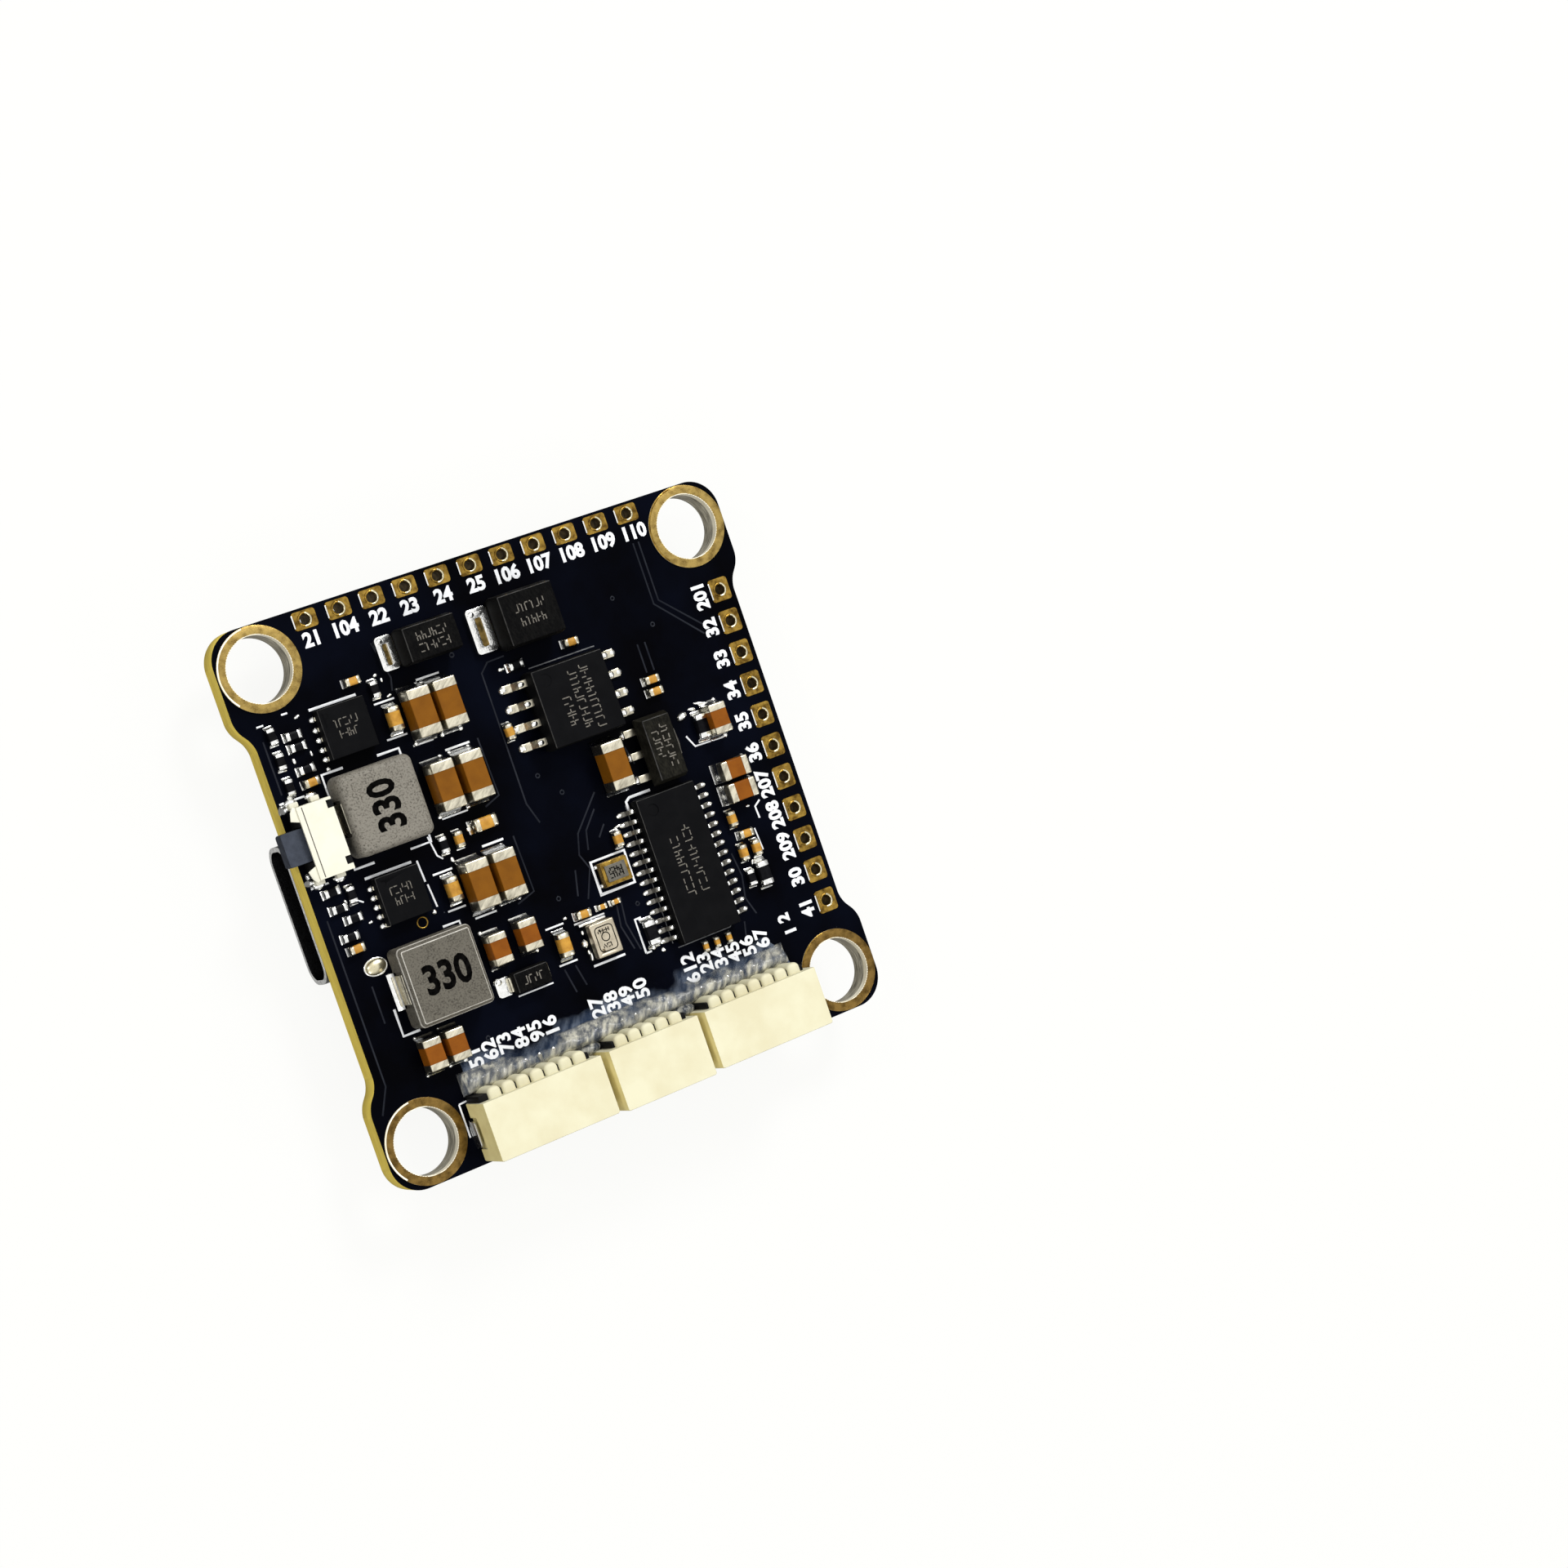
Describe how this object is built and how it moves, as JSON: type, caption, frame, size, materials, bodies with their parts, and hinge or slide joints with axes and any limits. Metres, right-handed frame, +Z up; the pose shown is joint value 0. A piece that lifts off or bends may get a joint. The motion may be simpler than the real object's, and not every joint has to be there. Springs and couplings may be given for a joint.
{
  "type": "flight controller board",
  "caption": "Square circuit board with plated corner holes, edge wire pads, a USB socket, side-entry wire sockets, power parts and a side boot button.",
  "frame": {"origin": "under the middle of the board and of its square of four mounting holes, level with the underside of the USB socket", "axes": "+Z up out of the board's top face; +Y towards the edge with the row of wire pads, so the wire sockets are at -Y; -X towards the edge with the USB socket and the boot button"},
  "size_m": [0.036, 0.036, 0.0077],
  "materials": {
    "board_laminate": "satin black solder mask",
    "gold_plating": "gold plated copper",
    "nickel_steel": "bright nickel plate",
    "lid_metal": "satin metal lid",
    "insert_black": "matte black nylon",
    "plunger_slate": "matte slate nylon",
    "socket_ivory": "satin ivory nylon",
    "inductor_powder": "speckled pressed iron powder",
    "capacitor_ceramic": "brown fired ceramic with tinned ends",
    "chip_moulding": "matte black epoxy",
    "lamp_clear": "clear lamp resin",
    "glue_milky": "milky translucent glue"
  },
  "bodies": {
    "board": {"boot_button_base": "insert_black", "boot_button_cover": "nickel_steel", "boot_button_dome": "nickel_steel", "buck_converter_lower": "chip_moulding", "buck_converter_upper": "chip_moulding", "circuit_board": "board_laminate", "flash_memory_chip": "chip_moulding", "glue_bead": "glue_milky", "hole_plating_back_left": "gold_plating", "hole_plating_back_right": "gold_plating", "hole_plating_front_left": "gold_plating", "hole_plating_front_right": "gold_plating", "large_capacitor_1": "capacitor_ceramic", "large_capacitor_2": "capacitor_ceramic", "large_capacitor_3": "capacitor_ceramic", "large_capacitor_4": "capacitor_ceramic", "large_capacitor_5": "capacitor_ceramic", "large_capacitor_6": "capacitor_ceramic", "large_capacitor_7": "capacitor_ceramic", "logic_regulator": "chip_moulding", "main_processor": "chip_moulding", "medium_capacitor_1": "capacitor_ceramic", "medium_capacitor_2": "capacitor_ceramic", "medium_capacitor_3": "capacitor_ceramic", "medium_capacitor_4": "capacitor_ceramic", "medium_capacitor_5": "capacitor_ceramic", "medium_capacitor_6": "capacitor_ceramic", "medium_capacitor_7": "capacitor_ceramic", "motion_sensor": "chip_moulding", "overlay_chip": "chip_moulding", "overlay_crystal": "lid_metal", "power_inductor_lower": "inductor_powder", "power_inductor_upper": "inductor_powder", "pressure_sensor": "lid_metal", "processor_crystal": "lid_metal", "protection_diode_large": "chip_moulding", "protection_diode_small": "chip_moulding", "schottky_diode": "chip_moulding", "status_light_first": "lamp_clear", "status_light_second": "lamp_clear", "usb_socket_insert": "insert_black", "usb_socket_shell": "nickel_steel", "voltage_regulator": "chip_moulding", "wire_socket_left": "socket_ivory", "wire_socket_left_tab_left": "nickel_steel", "wire_socket_left_tab_right": "nickel_steel", "wire_socket_middle": "socket_ivory", "wire_socket_middle_tab_left": "nickel_steel", "wire_socket_middle_tab_right": "nickel_steel", "wire_socket_right": "socket_ivory", "wire_socket_right_tab_left": "nickel_steel", "wire_socket_right_tab_right": "nickel_steel"},
    "boot_button": {"boot_button_plunger": "plunger_slate"}
  },
  "joints": [
    {"name": "boot_button_press", "type": "slide", "parent": "board", "child": "boot_button", "axis": [1, 0, 0], "range_m": [0, 0.00025], "stiffness_N_per_m": 4000, "springref_m": -0.00015}
  ]
}
